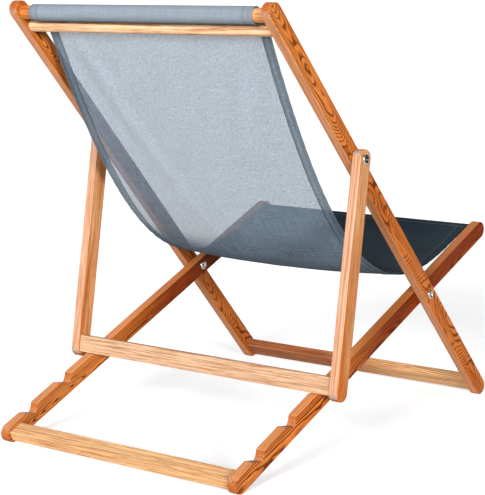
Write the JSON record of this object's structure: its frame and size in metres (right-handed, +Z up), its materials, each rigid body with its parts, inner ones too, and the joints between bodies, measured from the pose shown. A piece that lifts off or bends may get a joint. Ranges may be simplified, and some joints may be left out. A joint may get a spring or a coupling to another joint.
{
  "type": "folding deck chair",
  "caption": "Wooden deck chair: crossed back and seat frames on a scissor pivot, a prop frame that drops into notches, and a fabric sling hung between two dowels.",
  "frame": {"origin": "centre of the bounding box at ground level, chair standing on its two pairs of rounded rail ends in the raised notch", "axes": "+Z up; the sitter faces -Y; +X is the sitter's left and the chair is symmetric about x = 0"},
  "size_m": [0.6046, 0.7828, 0.7667],
  "materials": {
    "oiled_wood": "oiled, visible grain",
    "steel": "bright plated",
    "canvas": "plain woven slate grey canvas"
  },
  "bodies": {
    "back_frame": {"back_rail_left": "oiled_wood", "back_rail_right": "oiled_wood", "head_dowel": "oiled_wood", "upper_crossbar": "oiled_wood", "front_stretcher": "oiled_wood", "scissor_bolt_left": "steel", "scissor_washer_left": "steel", "scissor_nut_left": "steel", "prop_bolt_left": "steel", "prop_washer_left": "steel", "prop_nut_left": "steel", "scissor_bolt_right": "steel", "scissor_washer_right": "steel", "scissor_nut_right": "steel", "prop_bolt_right": "steel", "prop_washer_right": "steel", "prop_nut_right": "steel", "sling": "canvas"},
    "seat_frame": {"seat_rail_left": "oiled_wood", "seat_rail_right": "oiled_wood", "seat_dowel": "oiled_wood", "rear_stretcher": "oiled_wood"},
    "prop_frame": {"prop_leg_left": "oiled_wood", "prop_leg_right": "oiled_wood", "prop_crossbar": "oiled_wood"}
  },
  "joints": [
    {"name": "seat_fold", "type": "hinge", "parent": "back_frame", "child": "seat_frame", "pos_m": [0, -0.16284, 0.22758], "axis": [1, 0, 0], "range_deg": [0, 63.5], "deforming": ["sling"]},
    {"name": "prop_swing", "type": "hinge", "parent": "back_frame", "child": "prop_frame", "pos_m": [0, 0.07343, 0.50053], "axis": [1, 0, 0], "range_deg": [0, 136.57]}
  ],
  "couplings": [
    {"joint": "prop_swing", "follows": "seat_fold", "ratio": 2.15}
  ]
}
